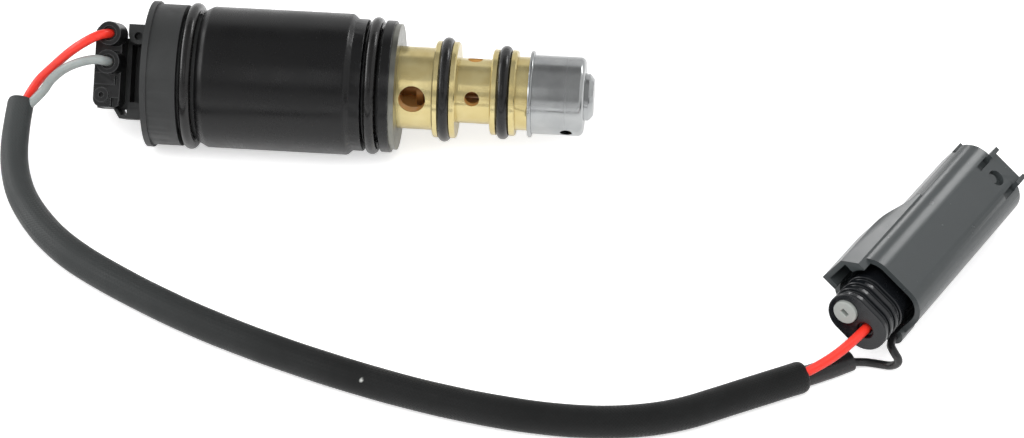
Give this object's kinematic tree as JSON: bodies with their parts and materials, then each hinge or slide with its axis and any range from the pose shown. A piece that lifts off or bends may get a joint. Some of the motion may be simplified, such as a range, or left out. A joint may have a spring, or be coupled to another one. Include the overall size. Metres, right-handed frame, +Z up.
{
  "type": "compressor control valve",
  "caption": "Solenoid control valve with ported brass body, sealing rings and end cap, wired through a sleeved harness to a sealed connector.",
  "frame": {"origin": "on the valve's axis, in the rear face of the rear flange", "axes": "+X along the valve's axis from the rear flange to the nose, +Z up as it lies on a surface"},
  "size_m": [0.2053, 0.1003, 0.0296],
  "materials": {
    "moulded_black": "matt moulded plastic",
    "black_steel": "satin black coating on turned steel",
    "rubber": "dull black rubber",
    "bright_steel": "turned steel",
    "bobbin_plastic": "moulded plastic",
    "copper_wire": "enamelled copper wire",
    "spring_wire": "drawn spring wire",
    "turned_brass": "bright turned brass",
    "drawn_steel": "satin drawn steel",
    "tinned_contact": "tinned contact",
    "plug_black": "semi-matt moulded plastic",
    "red_insulation": "semi-gloss wire insulation",
    "grey_insulation": "semi-gloss wire insulation",
    "woven_sleeve": "fine woven sleeving",
    "black_tubing": "black shrunk tubing",
    "connector_black": "semi-matt moulded plastic",
    "seal_rubber": "oiled black silicone rubber",
    "grey_rubber": "grey silicone rubber"
  },
  "bodies": {
    "valve": {"rear_cap": "moulded_black", "rear_o_ring": "rubber", "coil_housing": "black_steel", "front_o_ring": "rubber", "front_plate": "bright_steel", "coil_bobbin": "bobbin_plastic", "coil_winding": "copper_wire", "guide_sleeve": "bright_steel", "fixed_core": "bright_steel", "plunger_spring": "spring_wire", "valve_body": "turned_brass", "body_o_ring_large": "rubber", "body_o_ring_small": "rubber", "bellows": "bright_steel", "bellows_stop": "bright_steel", "bellows_spring": "spring_wire", "end_cap": "drawn_steel", "socket_pins": "tinned_contact", "valve_plug_housing": "plug_black", "valve_plug_seals": "rubber", "valve_plug_contacts": "tinned_contact", "red_lead_valve_end": "red_insulation", "grey_lead_valve_end": "grey_insulation", "harness_sleeve": "woven_sleeve", "red_lead_plug_end": "red_insulation", "shrink_tube": "black_tubing", "black_lead": "black_tubing", "connector_housing": "connector_black", "connector_seal": "seal_rubber", "cavity_plug": "grey_rubber", "connector_contacts": "tinned_contact"},
    "armature": {"plunger": "bright_steel", "push_rod": "bright_steel"}
  },
  "joints": [
    {"name": "armature_stroke", "type": "slide", "parent": "valve", "child": "armature", "axis": [1, 0, 0], "range_m": [0, 0.0006], "stiffness_N_per_m": 1500, "deforming": ["plunger_spring"]}
  ]
}
